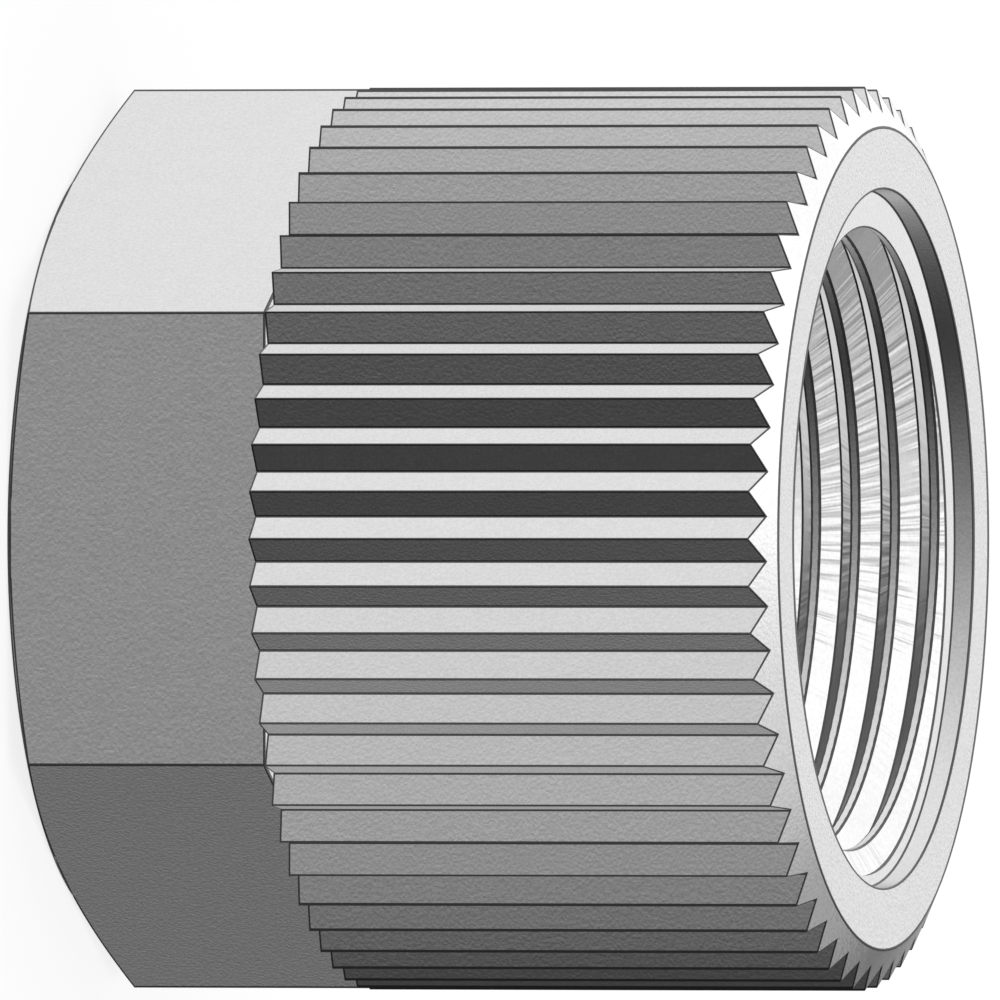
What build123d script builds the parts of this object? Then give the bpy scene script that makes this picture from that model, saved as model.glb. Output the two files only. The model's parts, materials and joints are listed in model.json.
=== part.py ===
"""Union nut with a hexagon, a straight knurl and a threaded bore.

The nut is turned from one bar. It stands on the face of its hexagon, at z = 0,
and its threaded mouth looks up. The tube passes through the hole in the hexagon.
Lengths are in millimetres and angles in degrees.
"""
from build123d import *
import os
from math import cos, radians, sin, tan

# Lengths along the axis
overall_length = 19.5
hexagon_length = 6.5
tube_hole_length = 5.0
relief_length = 2.0
counterbore_depth = 0.5

# Outside
across_flats = 19.0
hexagon_chamfer_angle = 20.0
knurl_diameter = 22.0
knurl_teeth = 60
knurl_depth = 0.6
mouth_chamfer_width = 1.0
mouth_chamfer_height = 0.5

# Inside
thread_core_diameter = 15.15
counterbore_ledge = 0.925
relief_depth = 0.825
relief_runout_angle = 45.0
tube_hole_diameter = 12.2
tube_hole_chamfer = 0.3
seat_angle = 45.0
seat_ledge = 0.2

# Radii and heights that follow from them
crest_radius = knurl_diameter / 2
root_radius = crest_radius - knurl_depth
corner_radius = across_flats / 2 / cos(radians(30))
core_radius = thread_core_diameter / 2
counterbore_radius = core_radius + counterbore_ledge
relief_radius = core_radius + relief_depth
tube_hole_radius = tube_hole_diameter / 2
seat_radius = core_radius - seat_ledge
seat_height = (seat_radius - tube_hole_radius) / tan(radians(seat_angle))
relief_bottom = tube_hole_length + seat_height
relief_top = relief_bottom + relief_length
thread_bottom = relief_top + relief_depth / tan(radians(relief_runout_angle))
thread_top = overall_length - counterbore_depth


def turned(points):
    """Revolves an outline of (radius, height) points about the axis."""
    outline = Plane.XZ * make_face(Polyline(*points, close=True))
    return revolve(outline, axis=Axis.Z)


def hexagon_bar():
    """The hexagon, with its corners on the X axis and two flats facing along Y."""
    hexagon = RegularPolygon(across_flats / 2, 6, major_radius=False)
    return extrude(hexagon, hexagon_length)


def knurled_bar():
    """The straight knurl: V grooves side by side, with a crest over each hexagon corner."""
    half_pitch = 180 / knurl_teeth
    outline = []
    for i in range(knurl_teeth):
        crest_angle = radians(2 * i * half_pitch)
        groove_angle = radians((2 * i + 1) * half_pitch)
        outline.append((crest_radius * cos(crest_angle), crest_radius * sin(crest_angle)))
        outline.append((root_radius * cos(groove_angle), root_radius * sin(groove_angle)))
    section = make_face(Polyline(*outline, close=True))
    return Pos(0, 0, hexagon_length) * extrude(section, overall_length - hexagon_length)


def turned_envelope():
    """The cone at each end, which takes the corners off the hexagon and the teeth."""
    face_radius = across_flats / 2
    mouth_radius = crest_radius - mouth_chamfer_width
    outer_radius = 1.2 * max(corner_radius, crest_radius)
    hexagon_cone = (outer_radius - face_radius) * tan(radians(hexagon_chamfer_angle))
    mouth_cone = (outer_radius - mouth_radius) * mouth_chamfer_height / mouth_chamfer_width
    return turned([
        (0, 0),
        (face_radius, 0),
        (outer_radius, hexagon_cone),
        (outer_radius, overall_length - mouth_cone),
        (mouth_radius, overall_length),
        (0, overall_length),
    ])


def bore():
    """Everything inside: tube hole, cone seat, thread relief, thread core and counterbore."""
    return turned([
        (0, 0),
        (tube_hole_radius + tube_hole_chamfer, 0),
        (tube_hole_radius, tube_hole_chamfer),
        (tube_hole_radius, tube_hole_length),
        (seat_radius, relief_bottom),
        (relief_radius, relief_bottom),
        (relief_radius, relief_top),
        (core_radius, thread_bottom),
        (core_radius, thread_top),
        (counterbore_radius, thread_top),
        (counterbore_radius, overall_length),
        (0, overall_length),
    ])


def union_nut():
    """The whole nut, one solid."""
    bar = hexagon_bar() + knurled_bar()
    return (bar & turned_envelope()) - bore()


os.makedirs("parts", exist_ok=True)
export_step(union_nut(), "parts/union_nut.step")
print("thread core from", round(thread_bottom, 3), "to", round(thread_top, 3))
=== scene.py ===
"""The union nut in satin metal, with its right-handed inside thread, on a pale floor."""
import bmesh
import bpy
import json
from math import atan2, cos, degrees, hypot, pi, radians, sin, tan
from mathutils import Matrix, Vector

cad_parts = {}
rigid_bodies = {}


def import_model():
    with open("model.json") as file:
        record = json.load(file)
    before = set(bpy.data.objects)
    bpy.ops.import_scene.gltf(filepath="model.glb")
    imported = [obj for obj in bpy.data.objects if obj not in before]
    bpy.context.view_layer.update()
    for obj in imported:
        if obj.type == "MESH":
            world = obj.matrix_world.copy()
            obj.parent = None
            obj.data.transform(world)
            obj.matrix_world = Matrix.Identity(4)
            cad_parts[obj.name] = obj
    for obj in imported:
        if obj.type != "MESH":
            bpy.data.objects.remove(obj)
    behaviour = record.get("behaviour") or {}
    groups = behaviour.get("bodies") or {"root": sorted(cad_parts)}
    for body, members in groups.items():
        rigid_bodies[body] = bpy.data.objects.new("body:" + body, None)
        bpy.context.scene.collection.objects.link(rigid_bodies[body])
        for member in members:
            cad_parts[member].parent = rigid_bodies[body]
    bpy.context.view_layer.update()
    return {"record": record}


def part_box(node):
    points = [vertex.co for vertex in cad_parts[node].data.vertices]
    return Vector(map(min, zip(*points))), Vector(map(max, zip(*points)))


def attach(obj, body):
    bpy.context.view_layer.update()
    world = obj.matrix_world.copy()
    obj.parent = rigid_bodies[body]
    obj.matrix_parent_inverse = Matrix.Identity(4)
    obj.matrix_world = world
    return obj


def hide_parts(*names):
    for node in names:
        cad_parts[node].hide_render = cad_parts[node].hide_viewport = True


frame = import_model()
MM = 0.001

# Sizes from the frame. The nut is modelled in millimetres and scaled to metres at the end.
thread_mount = next(m for m in frame["record"]["mounts"] if m["name"] == "thread")
tube_mount = next(m for m in frame["record"]["mounts"] if m["name"] == "tube_hole")
nut_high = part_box("union_nut")[1]
overall_length = nut_high.z / MM
crest_radius = nut_high.x / MM
core_radius = thread_mount["dims"]["r_mm"]
thread_length = thread_mount["dims"]["length_mm"]
thread_top = thread_mount["pos_m"][2] / MM + thread_length / 2
thread_bottom = thread_top - thread_length
tube_hole_radius = tube_mount["dims"]["r_mm"]
tube_hole_chamfer = tube_mount["pos_m"][2] / MM - tube_mount["dims"]["length_mm"] / 2

# Knurled barrel
knurl_teeth = 60
knurl_depth = 0.6
columns = 2 * knurl_teeth
root_radius = crest_radius - knurl_depth
mouth_chamfer_width = 1.0
mouth_radius = crest_radius - mouth_chamfer_width
mouth_cone_slope = 0.5
crest_top = overall_length - (crest_radius - mouth_radius) * mouth_cone_slope

# Hexagon, and the plug that joins it to the barrel
hexagon_length = 6.5
across_flats = 19.0
hexagon_sides = 6
hexagon_cone_angle = radians(20)
hexagon_edge_break = 0.07
half_side_angle = 180 / hexagon_sides
face_radius = across_flats / 2
corner_radius = face_radius / cos(radians(half_side_angle))
blank_oversize = 1.05
blank_radius = corner_radius * blank_oversize
blank_columns = 3 * knurl_teeth
plug_radius = 9.8
plug_length = 2.0

# Inside
counterbore_radius = 8.5
relief_radius = 8.4
relief_length = 2.0
seat_ledge = 0.2
seat_radius = core_radius - seat_ledge
seat_top = thread_bottom - (relief_radius - core_radius) - relief_length
seat_bottom = seat_top - (seat_radius - tube_hole_radius)
cutter_overrun = 1

# Thread
pitch = 1.0
turns = 12
groove_root_radius = 8.2
groove_root_width = 0.055
flank_angle = radians(30)
groove_exit_angle = radians(4.5)
thread_edge_break = 0.042
thread_break_depth = thread_edge_break * cos(flank_angle)
thread_break_run = 3 * thread_edge_break

# Edges: a painted dark line on both faces, which is painted shade, and inside the bore a small
# flat between them
edge_border = 0.045
outer_corner_border = 0.09
outer_crest_border = 0.07
outer_crests_from = 8.5
toothed_rim_border = 0.03
hexagon_rim_border = 0.09
inner_edge_break = 0.02
inner_edge_border = 0.02
mouth_border = 0.03
mouth_side_border = 0.15
mouth_ring_shift = 0.045

# Limits for picking faces and edges. The last three tell directions by a normal's upward part.
near = 0.01
tooth_rise = 1
large_area = 10
edge_fold = radians(12)
steep_fold = radians(40)
upward_from = 0.9
sideways_to = 0.1
cone_rise = (0.5, 0.95)

# Limits for merging points, for cutting and for smooth shading
merge_distance = 1e-4
cut_distance = 1e-5
smooth_fold = radians(8)

# A size may pass its nominal value by this factor and still count as that size
slack = 1.1

# Material slots of a piece: its own finish, the painted shade of its dark edge lines, and on some
# pieces one more
OWN = 0
PAINTED_SHADE = 1
OTHER = 2

# Metal. Texture scales are to the metre, apart from marks_around, which is to the radian.
metal_shade = 0.62
# The dark tone of the edge lines is painted shade
painted_shade_tone = 0.085
grain_scale = 11000
grain_squeeze = (1, 1, 1.25)
grain_height = 0.02 * MM
cloud_scale = 1500
tint_swing = 0.03
speckle_swing = 0.14
roughness_swing = 0.03
marks_around = 28
marks_upward = 300
marks_height = 0.1 * MM
patch_scale = 500
patch_range = (0.36, 0.54)
calm_share = 0.1

# Studio. The floor's shade and its glow add up to white.
white = (1, 1, 1, 1)
black = (0, 0, 0, 1)
floor_radius = 3
floor_color = (0.3, 0.3, 0.3, 1)
floor_glow = 0.78
world_light = 0.8

# Light tent: brightness by the direction around the axis, as pairs of degrees and brightness.
# 0 degrees is the camera's side, at -Y, and 90 degrees is at -X, which the photo shows on top.
# The sides look the same in all bands but the overhead one. What lies behind the nut differs.
tent_peak = 2.0
tent_radius = 2.5
seam_turn = 90
sides = (
    (-133, 0.345), (-121, 0.24), (-109, 0.15), (-97, 0.107), (-85, 0.082), (-73, 0.056),
    (-61, 0.075), (-49, 0.114), (-37, 0.168), (-25, 0.237), (-10, 0.335), (5, 0.45), (25, 0.66),
    (40, 0.8), (55, 0.94), (70, 1.06), (90, 1.17), (110, 1.21), (130, 1.15),
)
near_floor = sides + (
    (150, 1.0), (158, 0.97), (168, 0.48), (180, 0.38), (-170, 0.3), (-158, 0.66), (-145, 0.43),
)
above = sides + (
    (145, 1.5), (160, 1.6), (170, 1.4), (176, 1.25), (-179, 0.95), (-175, 0.42), (-170, 0.29),
    (-163, 0.08), (-157, 0.79), (-151, 0.4), (-145, 0.35),
)
overhead = (
    (0, 1.2), (90, 1.2), (118, 1.35), (132, 1.7), (165, 1.8), (180, 1.68), (-165, 1.31),
    (-155, 1.12), (-150, 1.02), (-142, 0.9), (-90, 0.85), (-40, 1.0),
)
ground = sides + (
    (150, 0.3), (165, 0.02), (174, 0.02), (180, 0.45), (-174, 1.05), (-165, 1.05), (-150, 0.7),
)

# Each further band with the heights where it fades in, as shares of the tent's radius
bands = ((above, -0.2, -0.05), (overhead, 0.62, 0.82), (ground, -0.32, -0.46))
lamp_direction = Vector((0.09, 0.96, 0.26))
lamp_size = 0.15
lamp_glow = 1.0

# Camera: square on to the axis, turned 15 degrees to show the mouth, with the mouth on the right
view_turn = radians(15.33)
frame_width = 24.378 * MM
lens = 1700
sensor = 36
aim = Vector((-0.942 * MM, 0, 9.798 * MM))


def only(piece):
    """Makes a piece the one that operators act on."""
    bpy.ops.object.select_all(action="DESELECT")
    piece.select_set(True)
    bpy.context.view_layer.objects.active = piece


def edit(piece):
    """Opens a piece in edit mode with nothing selected."""
    only(piece)
    bpy.ops.object.mode_set(mode="EDIT")
    bpy.ops.mesh.select_mode(type="VERT")
    bpy.ops.mesh.select_all(action="DESELECT")


def done():
    bpy.ops.object.mode_set(mode="OBJECT")


def pick(piece, kind, test):
    """Selects the verts, edges or faces of a piece in edit mode that pass a test."""
    bpy.ops.mesh.select_mode(type=kind.rstrip("s").upper())
    mesh = bmesh.from_edit_mesh(piece.data)
    for element in getattr(mesh, kind):
        element.select_set(test(element))
    mesh.select_flush_mode()
    bmesh.update_edit_mesh(piece.data)


def pick_all():
    bpy.ops.mesh.select_all(action="SELECT")


def scale_about_axis(factor, factor_y=None):
    bpy.ops.transform.resize(value=(factor, factor_y or factor, 1), center_override=(0, 0, 0))


def lift(height):
    bpy.ops.transform.translate(value=(0, 0, height))


def extrude():
    bpy.ops.mesh.extrude_region_move()


def give(piece, finishes):
    """Fills a piece's material slots."""
    for finish in finishes:
        piece.data.materials.append(finish)


def paint(slot):
    """Gives the selected faces one of the piece's materials."""
    bpy.context.object.active_material_index = slot
    bpy.ops.object.material_slot_assign()


def paint_edge_shade(width):
    """Gives both faces at the selected edges a narrow border painted dark, as painted shade."""
    bpy.ops.mesh.bevel(
        offset_type="OFFSET", offset=width, segments=2, profile=1, affect="EDGES",
        clamp_overlap=False, material=PAINTED_SHADE,
    )


def middle(edge):
    return (edge.verts[0].co + edge.verts[1].co) / 2


def folded(edge, angle):
    """True where the faces on both sides of an edge meet at more than an angle."""
    return edge.calc_face_angle(0) > angle


def looks_up(face):
    return face.normal.z > upward_from


def looks_down(face):
    return face.normal.z < -upward_from


def looks_sideways(face):
    return abs(face.normal.z) < sideways_to


def cylinder(name, radius, bottom, top, vertices, finishes):
    """A closed cylinder on the axis, its place in its mesh, opened in edit mode."""
    bpy.ops.object.select_all(action="DESELECT")
    height = (bottom + top) / 2
    bpy.ops.mesh.primitive_cylinder_add(
        vertices=vertices, radius=radius, depth=top - bottom, location=(0, 0, height)
    )
    piece = bpy.context.active_object
    piece.name = name
    bpy.ops.object.transform_apply(location=True, rotation=True, scale=True)
    give(piece, finishes)
    edit(piece)
    return piece


def on_crest(vertex):
    """True for the columns of vertices that stand on a tooth's crest."""
    step = 360 / columns
    return round(degrees(atan2(vertex.co.y, vertex.co.x)) / step) % 2 == 0


def at_mouth(point):
    """True from the height where the mouth's cone meets the crests."""
    return point.z > crest_top - near


def along_tooth(edge):
    return abs(edge.verts[0].co.z - edge.verts[1].co.z) > tooth_rise


def on_outer_crest(edge):
    """True for the crests that lie far out along X, at the top and the bottom of the photo."""
    return along_tooth(edge) and edge.is_convex and abs(middle(edge).x) > outer_crests_from


def on_toothed_rim(edge):
    """True for the zig-zag edge between the teeth and the mouth's cone."""
    return folded(edge, steep_fold) and not along_tooth(edge) and at_mouth(middle(edge))


def toothed_bar(finishes):
    """A bar with V grooves side by side, cut through at the mouth by a flat cone."""
    bar = cylinder("barrel", crest_radius, hexagon_length, crest_top, columns, finishes)
    pick(bar, "verts", lambda v: not on_crest(v))
    scale_about_axis(root_radius / crest_radius)
    pick(bar, "verts", lambda v: not on_crest(v) and at_mouth(v.co))
    lift(knurl_depth * mouth_cone_slope)
    pick(bar, "faces", lambda f: len(f.verts) == columns and at_mouth(f.calc_center_median()))
    extrude()
    bpy.ops.mesh.select_mode(type="VERT")
    ring = [v.index for v in bmesh.from_edit_mesh(bar.data).verts if v.select]
    for crest, radius in ((True, crest_radius), (False, root_radius)):
        pick(bar, "verts", lambda v: v.index in ring and on_crest(v) == crest)
        scale_about_axis(mouth_radius / radius)
        lift((radius - mouth_radius) * mouth_cone_slope)
    pick(bar, "faces", lambda f: cone_rise[0] < f.normal.z < cone_rise[1])
    paint(OTHER)
    return bar


def border_teeth(bar):
    """Borders painted dark, as painted shade, at the barrel's edges, wide on the outer crests and
    narrow on the toothed rim.
    """
    pick(bar, "edges", on_outer_crest)
    paint_edge_shade(outer_crest_border)
    pick(bar, "edges", lambda e: folded(e, edge_fold) and not on_toothed_rim(e))
    paint_edge_shade(edge_border)
    pick(bar, "edges", on_toothed_rim)
    paint_edge_shade(toothed_rim_border)


def finish_mouth(bar):
    """The mouth's flat face: a ring in the plain finish between two borders painted dark as
    painted shade, wider along Y.
    """
    circle = mouth_radius - edge_border
    outer = (mouth_radius - mouth_border, mouth_radius - mouth_side_border)
    bore_edge = counterbore_radius + inner_edge_break
    inner = (bore_edge + mouth_border, bore_edge + mouth_side_border)
    pick(bar, "faces", lambda f: f.calc_area() > large_area and looks_up(f))
    scale_about_axis(outer[0] / circle, outer[1] / circle)
    extrude()
    scale_about_axis(inner[0] / outer[0], inner[1] / outer[1])
    bpy.ops.mesh.select_more()
    bpy.ops.transform.translate(value=(0, -mouth_ring_shift, 0))
    paint(OWN)
    bpy.ops.mesh.select_less()
    paint(PAINTED_SHADE)


def knurled_barrel(finishes):
    """The barrel, with its third finish on the mouth's cone."""
    barrel = toothed_bar(finishes)
    border_teeth(barrel)
    finish_mouth(barrel)
    done()
    return barrel


def turned_blank(finishes):
    """The hexagon's round blank, with a small edge break and a cone at its end."""
    ring = hexagon_edge_break
    slope = tan(hexagon_cone_angle) - ring / (corner_radius - face_radius)
    cone_top = ring + (blank_radius - face_radius) * slope
    blank = cylinder("hexagon", blank_radius, cone_top, hexagon_length, blank_columns, finishes)
    pick(blank, "faces", looks_down)
    extrude()
    scale_about_axis(face_radius / blank_radius)
    lift(ring - cone_top)
    extrude()
    scale_about_axis((face_radius - ring) / face_radius)
    lift(-ring)
    # The edge break at the end face is painted dark: painted shade
    pick(blank, "faces", lambda f: 0 < f.calc_center_median().z < ring)
    paint(PAINTED_SHADE)
    return blank


def mill_flats():
    """Cuts the six flats, of which two face along Y."""
    for k in range(hexagon_sides):
        turn = radians(half_side_angle + 360 / hexagon_sides * k)
        normal = Vector((cos(turn), sin(turn), 0))
        pick_all()
        bpy.ops.mesh.bisect(
            plane_co=normal * face_radius, plane_no=normal,
            use_fill=True, clear_outer=True, threshold=cut_distance,
        )


def finish_top(hexagon):
    """The hexagon's upper face inside its border painted dark as painted shade, and the plug that
    reaches into the barrel.
    """
    inside_rim = 1 - hexagon_rim_border / face_radius
    pick(hexagon, "faces", looks_up)
    extrude()
    scale_about_axis(inside_rim)
    bpy.ops.mesh.select_more()
    paint(PAINTED_SHADE)
    bpy.ops.mesh.select_less()
    extrude()
    scale_about_axis(plug_radius / corner_radius / inside_rim)
    bpy.ops.mesh.select_more()
    paint(OWN)
    bpy.ops.mesh.select_less()
    extrude()
    lift(plug_length)


def on_flat(edge):
    """True for the sharp edges of the flats above the end face's edge break."""
    inside = hexagon_edge_break + 2 * near < middle(edge).z < hexagon_length + near
    return inside and edge.is_convex and folded(edge, steep_fold)


def on_outer_corner(edge):
    """True for the edges of the two corners on the X axis."""
    return on_flat(edge) and all(abs(vertex.co.y) < near for vertex in edge.verts)


def border_flats(hexagon):
    """Borders painted dark, as painted shade, at the flats' edges, joined where the cone only just
    reaches a flat's middle.
    """
    pick(hexagon, "edges", on_outer_corner)
    paint_edge_shade(outer_corner_border)
    pick(hexagon, "edges", on_flat)
    paint_edge_shade(edge_border)
    pick(hexagon, "faces", lambda f: looks_sideways(f) and f.calc_area() > large_area)
    low_line = hexagon_edge_break + edge_border
    bpy.ops.mesh.bisect(plane_co=(0, 0, low_line), plane_no=(0, 0, 1))
    lowest = hexagon_edge_break - near / 10

    def in_low_line(face):
        top = max(vertex.co.z for vertex in face.verts)
        bottom = min(vertex.co.z for vertex in face.verts)
        flat_or_end = looks_sideways(face) or len(face.verts) > 4
        at_break = top < hexagon_edge_break + 2 * near
        return bottom > lowest and (at_break or top < low_line + 2 * near and flat_or_end)

    pick(hexagon, "faces", in_low_line)
    paint(PAINTED_SHADE)


def hexagon_end(finishes):
    """The hexagon: a turned blank with a cone at its end, milled to six flats."""
    hexagon = turned_blank(finishes)
    mill_flats()
    finish_top(hexagon)
    border_flats(hexagon)
    done()
    return hexagon


def outline(name, points):
    """Draws a line through (radius, height) points, one extruded vertex after another."""
    bpy.ops.object.select_all(action="DESELECT")
    bpy.ops.mesh.primitive_plane_add(size=1, location=(0, 0, 0))
    line = bpy.context.active_object
    line.name = name
    bpy.ops.object.mode_set(mode="EDIT")
    bpy.ops.mesh.select_mode(type="VERT")
    bpy.ops.mesh.merge(type="CENTER")
    pick_all()
    bpy.ops.transform.translate(value=(points[0][0], 0, points[0][1]))
    for (r0, z0), (r1, z1) in zip(points, points[1:]):
        bpy.ops.mesh.extrude_vertices_move(TRANSFORM_OT_translate={"value": (r1 - r0, 0, z1 - z0)})
    return line


def bore_cutter(finishes):
    """What the lathe takes out: counterbore, thread core, relief, cone seat and tube hole."""
    flat = inner_edge_break
    edge_zone = flat + inner_edge_border
    above_nut = overall_length + cutter_overrun
    below_nut = -cutter_overrun
    cutter = outline("bore_cutter", [
        (0, above_nut),
        (counterbore_radius + flat + above_nut - overall_length, above_nut),
        (counterbore_radius, overall_length - flat),
        (counterbore_radius, overall_length - edge_zone),
        (counterbore_radius, thread_top + edge_zone),
        (counterbore_radius, thread_top + flat),
        (counterbore_radius - flat, thread_top),
        (counterbore_radius - edge_zone, thread_top),
        (core_radius + edge_zone, thread_top),
        (core_radius + flat, thread_top),
        (core_radius, thread_top - flat),
        (core_radius, thread_bottom),
        (relief_radius, thread_bottom - (relief_radius - core_radius)),
        (relief_radius, seat_top),
        (seat_radius, seat_top),
        (tube_hole_radius, seat_bottom),
        (tube_hole_radius, tube_hole_chamfer),
        (tube_hole_radius + tube_hole_chamfer - below_nut, below_nut),
        (0, below_nut),
    ])
    pick_all()
    bpy.ops.mesh.spin(steps=columns, angle=2 * pi, center=(0, 0, 0), axis=(0, 0, 1))
    pick_all()
    bpy.ops.mesh.remove_doubles(threshold=merge_distance)
    bpy.ops.mesh.normals_make_consistent(inside=False)
    done()
    give(cutter, finishes)
    # Narrow faces at the edges and the mouth's inner chamfer are painted dark: painted shade
    for face in cutter.data.polygons:
        corners = [cutter.data.vertices[i].co for i in face.vertices]
        heights = [corner.z for corner in corners]
        radii = [hypot(*corner.xy) for corner in corners]
        length = hypot(max(radii) - min(radii), max(heights) - min(heights))
        narrow = length < slack * edge_zone
        if narrow or max(heights) > overall_length:
            face.material_index = PAINTED_SHADE
    return cutter


def wind_up(section):
    """Winds the groove's section to a closed screw, with an edge where its top border starts."""
    wind = section.modifiers.new("wind", "SCREW")
    wind.axis = "Z"
    wind.angle = 2 * pi
    wind.screw_offset = pitch
    wind.iterations = turns
    wind.steps = columns
    wind.render_steps = columns
    wind.use_smooth_shade = False
    bpy.ops.object.modifier_apply(modifier=wind.name)
    edit(section)
    pick_all()
    bpy.ops.mesh.remove_doubles(threshold=merge_distance)
    bpy.ops.mesh.select_all(action="DESELECT")
    bpy.ops.mesh.select_non_manifold(extend=False, use_boundary=True)
    bpy.ops.mesh.fill_holes(sides=0)
    pick_all()
    bpy.ops.mesh.normals_make_consistent(inside=False)
    bpy.ops.mesh.bisect(plane_co=(0, 0, thread_top - thread_edge_break), plane_no=(0, 0, 1))
    done()


def thread_cutter(finishes):
    """The V groove of the thread, wound up the bore from the relief to above the counterbore."""
    start_angle = radians(180 / columns)
    climb = pitch / (2 * pi)
    exit_height = thread_top - climb * groove_exit_angle
    start = exit_height - pitch * (turns - 1) + climb * start_angle
    half_root = groove_root_width / 2
    flank_depth = groove_root_radius - core_radius - thread_break_depth
    half_mouth = half_root + flank_depth * tan(flank_angle)
    groove = outline("thread_cutter", [
        (core_radius - thread_break_depth, start + half_mouth + thread_break_run),
        (core_radius + thread_break_depth, start + half_mouth),
        (groove_root_radius, start + half_root),
        (groove_root_radius, start - half_root),
        (core_radius + thread_break_depth, start - half_mouth),
        (core_radius - thread_break_depth, start - half_mouth - thread_break_run),
    ])
    pick_all()
    bpy.ops.mesh.edge_face_add()
    bpy.ops.mesh.delete(type="ONLY_FACE")
    pick_all()
    bpy.ops.transform.rotate(value=-start_angle, orient_axis="Z", center_override=(0, 0, 0))
    done()
    wind_up(groove)
    give(groove, finishes)
    lowest_root = groove_root_radius - near
    highest_break = core_radius + slack * thread_break_depth
    # The crest breaks, the root of the groove and the top border are painted dark: painted shade
    # along the edges and in the root's crease
    for face in groove.data.polygons:
        radii = [hypot(*groove.data.vertices[i].co.xy) for i in face.vertices]
        at_break = max(radii) < highest_break
        at_root = min(radii) > lowest_root
        if at_break or at_root or face.center.z > thread_top - thread_edge_break:
            face.material_index = PAINTED_SHADE
        elif face.normal.z > 0:
            face.material_index = OTHER
    return groove


def combine(piece, tool, operation):
    """Joins a tool to a piece, or cuts it out of the piece, and removes the tool."""
    only(piece)
    step = piece.modifiers.new("combine", "BOOLEAN")
    step.operation = operation
    step.solver = "EXACT"
    step.material_mode = "TRANSFER"
    step.object = tool
    bpy.ops.object.modifier_apply(modifier=step.name)
    bpy.data.objects.remove(tool)


def union_nut(outside, border, cone, inside, thread, back_flank):
    """The whole nut as one closed mesh in metres."""
    nut = knurled_barrel((outside, border, cone))
    combine(nut, hexagon_end((outside, border)), "UNION")
    combine(nut, bore_cutter((inside, border)), "DIFFERENCE")
    combine(nut, thread_cutter((thread, border, back_flank)), "DIFFERENCE")
    nut.name = "threaded_union_nut"
    nut.scale = (MM, MM, MM)
    only(nut)
    bpy.ops.object.transform_apply(location=True, rotation=True, scale=True)
    bpy.ops.object.shade_smooth_by_angle(angle=smooth_fold)
    return nut


def new_material(name):
    material = bpy.data.materials.new(name)
    material.use_nodes = True
    nodes = material.node_tree.nodes
    return material, nodes, material.node_tree.links, nodes["Principled BSDF"]


def math_node(nodes, links, operation, first, second):
    """A Math node. Each input is a number or another node's output."""
    node = nodes.new("ShaderNodeMath")
    node.operation = operation
    for socket, value in zip(node.inputs, (first, second)):
        if isinstance(value, (int, float)):
            socket.default_value = value
        else:
            links.new(value, socket)
    return node.outputs[0]


def noise(nodes, links, place, scale, detail):
    """A noise texture's value, from 0 to 1."""
    node = nodes.new("ShaderNodeTexNoise")
    node.inputs["Scale"].default_value = scale
    node.inputs["Detail"].default_value = detail
    links.new(place, node.inputs["Vector"])
    return node.outputs["Fac"]


def spread(nodes, links, value, low, high, start=0, stop=1, kind="LINEAR"):
    """Spreads what a value does between start and stop over the range from low to high."""
    node = nodes.new("ShaderNodeMapRange")
    node.interpolation_type = kind
    node.inputs["From Min"].default_value = start
    node.inputs["From Max"].default_value = stop
    node.inputs["To Min"].default_value = low
    node.inputs["To Max"].default_value = high
    links.new(value, node.inputs["Value"])
    return node.outputs["Result"]


def chatter_marks(nodes, links, place, strength):
    """The normal of a surface with fine marks along the radius, deeper in some patches."""
    axes = nodes.new("ShaderNodeSeparateXYZ")
    links.new(place, axes.inputs[0])
    angle = math_node(nodes, links, "ARCTAN2", axes.outputs["Y"], axes.outputs["X"])
    around = math_node(nodes, links, "MULTIPLY", angle, marks_around)
    upward = math_node(nodes, links, "MULTIPLY", axes.outputs["Z"], marks_upward)
    across = nodes.new("ShaderNodeCombineXYZ")
    links.new(around, across.inputs["X"])
    links.new(upward, across.inputs["Y"])
    marks = noise(nodes, links, across.outputs[0], 1, 2)
    patches = noise(nodes, links, place, patch_scale, 0)
    depth = spread(nodes, links, patches, calm_share * strength, strength, *patch_range)
    cut = nodes.new("ShaderNodeBump")
    cut.inputs["Distance"].default_value = marks_height
    links.new(depth, cut.inputs["Strength"])
    links.new(marks, cut.inputs["Height"])
    return cut.outputs["Normal"]


def metal(name, shade, roughness, grain, chatter=0):
    """Bare metal with a fine grain, a faint cloudiness and, on request, chatter marks."""
    material, nodes, links, shader = new_material(name)
    place = nodes.new("ShaderNodeTexCoord").outputs["Object"]
    squeeze = nodes.new("ShaderNodeMapping")
    squeeze.inputs["Scale"].default_value = grain_squeeze
    links.new(place, squeeze.inputs["Vector"])
    fine = noise(nodes, links, squeeze.outputs["Vector"], grain_scale, 2)
    clouds = noise(nodes, links, place, cloud_scale, 3)
    tint = spread(nodes, links, clouds, shade * (1 - tint_swing), shade * (1 + tint_swing))
    speckle = spread(nodes, links, fine, 1 - speckle_swing, 1 + speckle_swing)
    links.new(math_node(nodes, links, "MULTIPLY", tint, speckle), shader.inputs["Base Color"])
    matt = spread(nodes, links, clouds, roughness - roughness_swing, roughness + roughness_swing)
    links.new(matt, shader.inputs["Roughness"])
    bump = nodes.new("ShaderNodeBump")
    bump.inputs["Strength"].default_value = grain
    bump.inputs["Distance"].default_value = grain_height
    links.new(fine, bump.inputs["Height"])
    if chatter:
        links.new(chatter_marks(nodes, links, place, chatter), bump.inputs["Normal"])
    links.new(bump.outputs["Normal"], shader.inputs["Normal"])
    shader.inputs["Metallic"].default_value = 1
    return material


def ray_is_seen(nodes, links):
    """1 for rays that show the background: those of the camera, of a reflection and of glass."""
    rays = nodes.new("ShaderNodeLightPath").outputs
    seen = math_node(nodes, links, "MAXIMUM", rays["Is Camera Ray"], rays["Is Glossy Ray"])
    return math_node(nodes, links, "MAXIMUM", seen, rays["Is Transmission Ray"])


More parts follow.
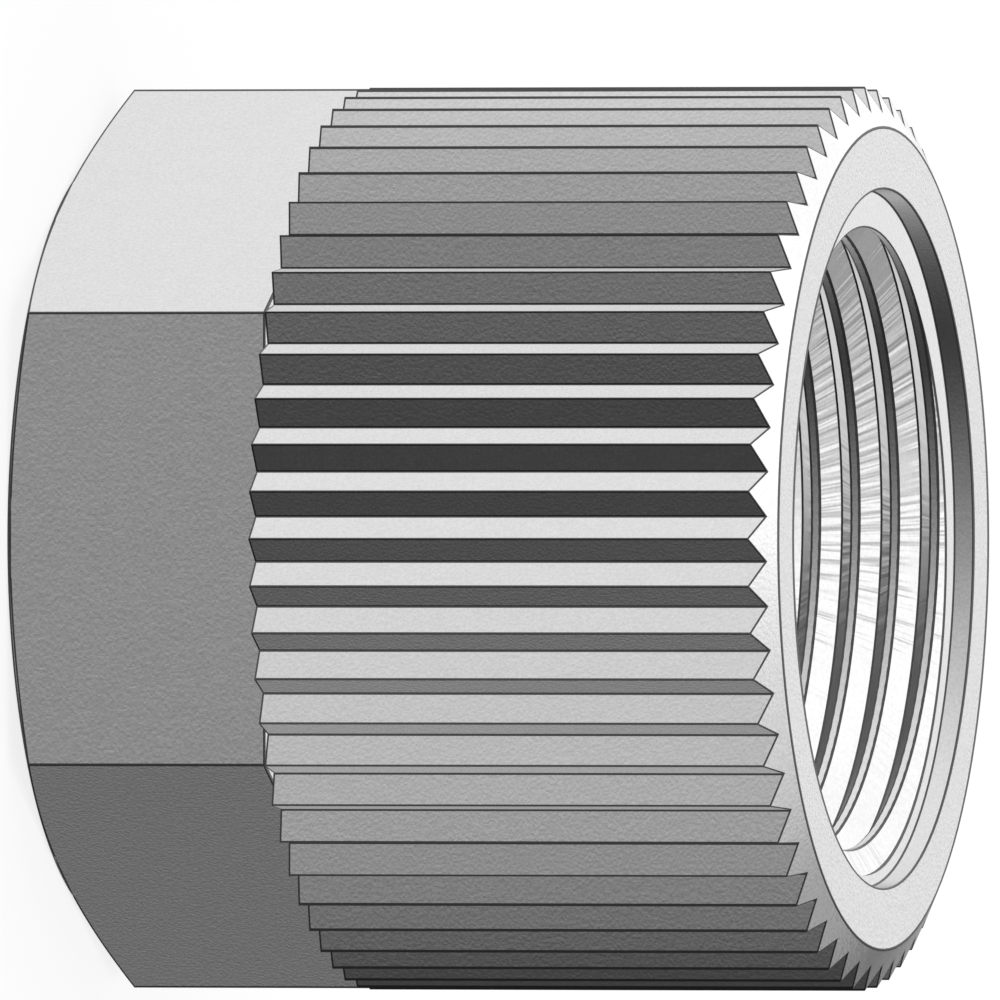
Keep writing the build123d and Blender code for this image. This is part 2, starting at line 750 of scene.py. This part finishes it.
def pale_floor():
    """A pale floor, which is clear from below."""
    bpy.ops.mesh.primitive_circle_add(vertices=64, radius=floor_radius, fill_type="NGON")
    floor = bpy.context.active_object
    floor.name = "floor"
    material, nodes, links, shader = new_material("pale_floor")
    shader.inputs["Base Color"].default_value = floor_color
    shader.inputs["Roughness"].default_value = 1
    shader.inputs["Specular IOR Level"].default_value = 0
    shader.inputs["Emission Color"].default_value = white
    glow = math_node(nodes, links, "MULTIPLY", ray_is_seen(nodes, links), floor_glow)
    links.new(glow, shader.inputs["Emission Strength"])
    side = nodes.new("ShaderNodeNewGeometry")
    clear = nodes.new("ShaderNodeBsdfTransparent")
    mix = nodes.new("ShaderNodeMixShader")
    links.new(side.outputs["Backfacing"], mix.inputs["Fac"])
    links.new(shader.outputs[0], mix.inputs[1])
    links.new(clear.outputs[0], mix.inputs[2])
    links.new(mix.outputs[0], nodes["Material Output"].inputs["Surface"])
    floor.data.materials.append(material)
    floor.visible_glossy = False


def white_world():
    world = bpy.data.worlds.new("studio")
    bpy.context.scene.world = world
    world.use_nodes = True
    nodes, links = world.node_tree.nodes, world.node_tree.links
    background = nodes["Background"]
    background.inputs["Color"].default_value = white
    light = spread(nodes, links, ray_is_seen(nodes, links), world_light, 1)
    links.new(light, background.inputs["Strength"])


def turn_ramp(nodes, links, around, shades):
    """Brightness by the direction around the axis. The ramp is closed at its seam."""
    ramp = nodes.new("ShaderNodeValToRGB")
    ramp.color_ramp.interpolation = "LINEAR"
    stops = ramp.color_ramp.elements
    seam = seam_turn / 360
    places = sorted(((seam - turn / 360) % 1, shade / tent_peak) for turn, shade in shades)
    seam_shade = dict(shades)[seam_turn] / tent_peak
    places = [(0, seam_shade)] + [place for place in places if place[0] > 0] + [(1, seam_shade)]
    while len(stops) < len(places):
        stops.new(0.5)
    for stop, (position, shade) in zip(stops, places):
        stop.position = position
        stop.color = (shade, shade, shade, 1)
    links.new(around, ramp.inputs["Fac"])
    return ramp.outputs["Color"]


def tent_bands(nodes, links, place):
    """The tent's shade: a ramp for each band, one faded into the next by height."""
    around = nodes.new("ShaderNodeTexGradient")
    around.gradient_type = "RADIAL"
    links.new(place, around.inputs["Vector"])
    axes = nodes.new("ShaderNodeSeparateXYZ")
    links.new(place, axes.inputs[0])
    height = axes.outputs["Z"]
    shade = turn_ramp(nodes, links, around.outputs["Fac"], near_floor)
    for band, start, stop in bands:
        low, high = start * tent_radius, stop * tent_radius
        share = spread(nodes, links, height, 0, 1, low, high, "SMOOTHSTEP")
        mix = nodes.new("ShaderNodeMix")
        mix.data_type = "RGBA"
        links.new(share, mix.inputs["Factor"])
        links.new(shade, mix.inputs[6])
        links.new(turn_ramp(nodes, links, around.outputs["Fac"], band), mix.inputs[7])
        shade = mix.outputs[2]
    return shade


def tent_lamp(nodes, links, place):
    """A small soft lamp in the tent, which the mouth's face mirrors in the photo's view."""
    apart = nodes.new("ShaderNodeVectorMath")
    apart.operation = "DISTANCE"
    links.new(place, apart.inputs[0])
    apart.inputs[1].default_value = lamp_direction * tent_radius
    distance = apart.outputs["Value"]
    reach = lamp_size * tent_radius
    return spread(nodes, links, distance, 0, lamp_glow / tent_peak, reach, 0, "SMOOTHSTEP")


def light_tent():
    """A soft tent far around the nut, which only the metal's reflections see."""
    bpy.ops.object.select_all(action="DESELECT")
    bpy.ops.mesh.primitive_uv_sphere_add(
        segments=64, ring_count=32, radius=tent_radius, location=(0, 0, 0)
    )
    tent = bpy.context.active_object
    tent.name = "light_tent"
    material, nodes, links, shader = new_material("light_tent")
    place = nodes.new("ShaderNodeTexCoord").outputs["Object"]
    shade = tent_bands(nodes, links, place)
    lamp = tent_lamp(nodes, links, place)
    shader.inputs["Base Color"].default_value = black
    shader.inputs["Specular IOR Level"].default_value = 0
    links.new(math_node(nodes, links, "ADD", shade, lamp), shader.inputs["Emission Color"])
    shader.inputs["Emission Strength"].default_value = tent_peak
    material.cycles.emission_sampling = "NONE"
    tent.data.materials.append(material)
    tent.visible_camera = False
    tent.visible_diffuse = False
    tent.visible_shadow = False
    tent.visible_transmission = False


def camera():
    """The camera with a very long lens, because the photo is a parallel projection."""
    data = bpy.data.cameras.new("camera")
    data.lens = lens
    data.sensor_width = sensor
    data.clip_start = 0.01
    data.clip_end = 10
    back = Vector((0, -cos(view_turn), sin(view_turn)))
    right = Vector((0, sin(view_turn), cos(view_turn)))
    up = back.cross(right)
    turn = Matrix((right, up, back)).transposed()
    eye = bpy.data.objects.new("camera", data)
    eye.matrix_world = Matrix.Translation(aim + back * frame_width * lens / sensor) @ turn.to_4x4()
    bpy.context.scene.collection.objects.link(eye)
    bpy.context.scene.camera = eye


camera()
nut = union_nut(
    outside=metal("satin_steel", metal_shade, roughness=0.25, grain=0.7),
    # The dark edge lines: painted shade along every edge
    border=metal("edge_finish", painted_shade_tone, roughness=0.5, grain=0.1),
    cone=metal("mouth_cone", metal_shade, roughness=0.25, grain=0.4),
    inside=metal("turned_bore", metal_shade, roughness=0.25, grain=0.3),
    thread=metal("cut_thread", metal_shade, roughness=0.3, grain=0.1, chatter=1),
    back_flank=metal("thread_back_flank", metal_shade, roughness=0.3, grain=0.1, chatter=0.3),
)
nut.visible_glossy = False
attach(nut, "root")
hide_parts("union_nut")
pale_floor()
white_world()
light_tent()

bpy.context.scene.view_settings.view_transform = "Standard"
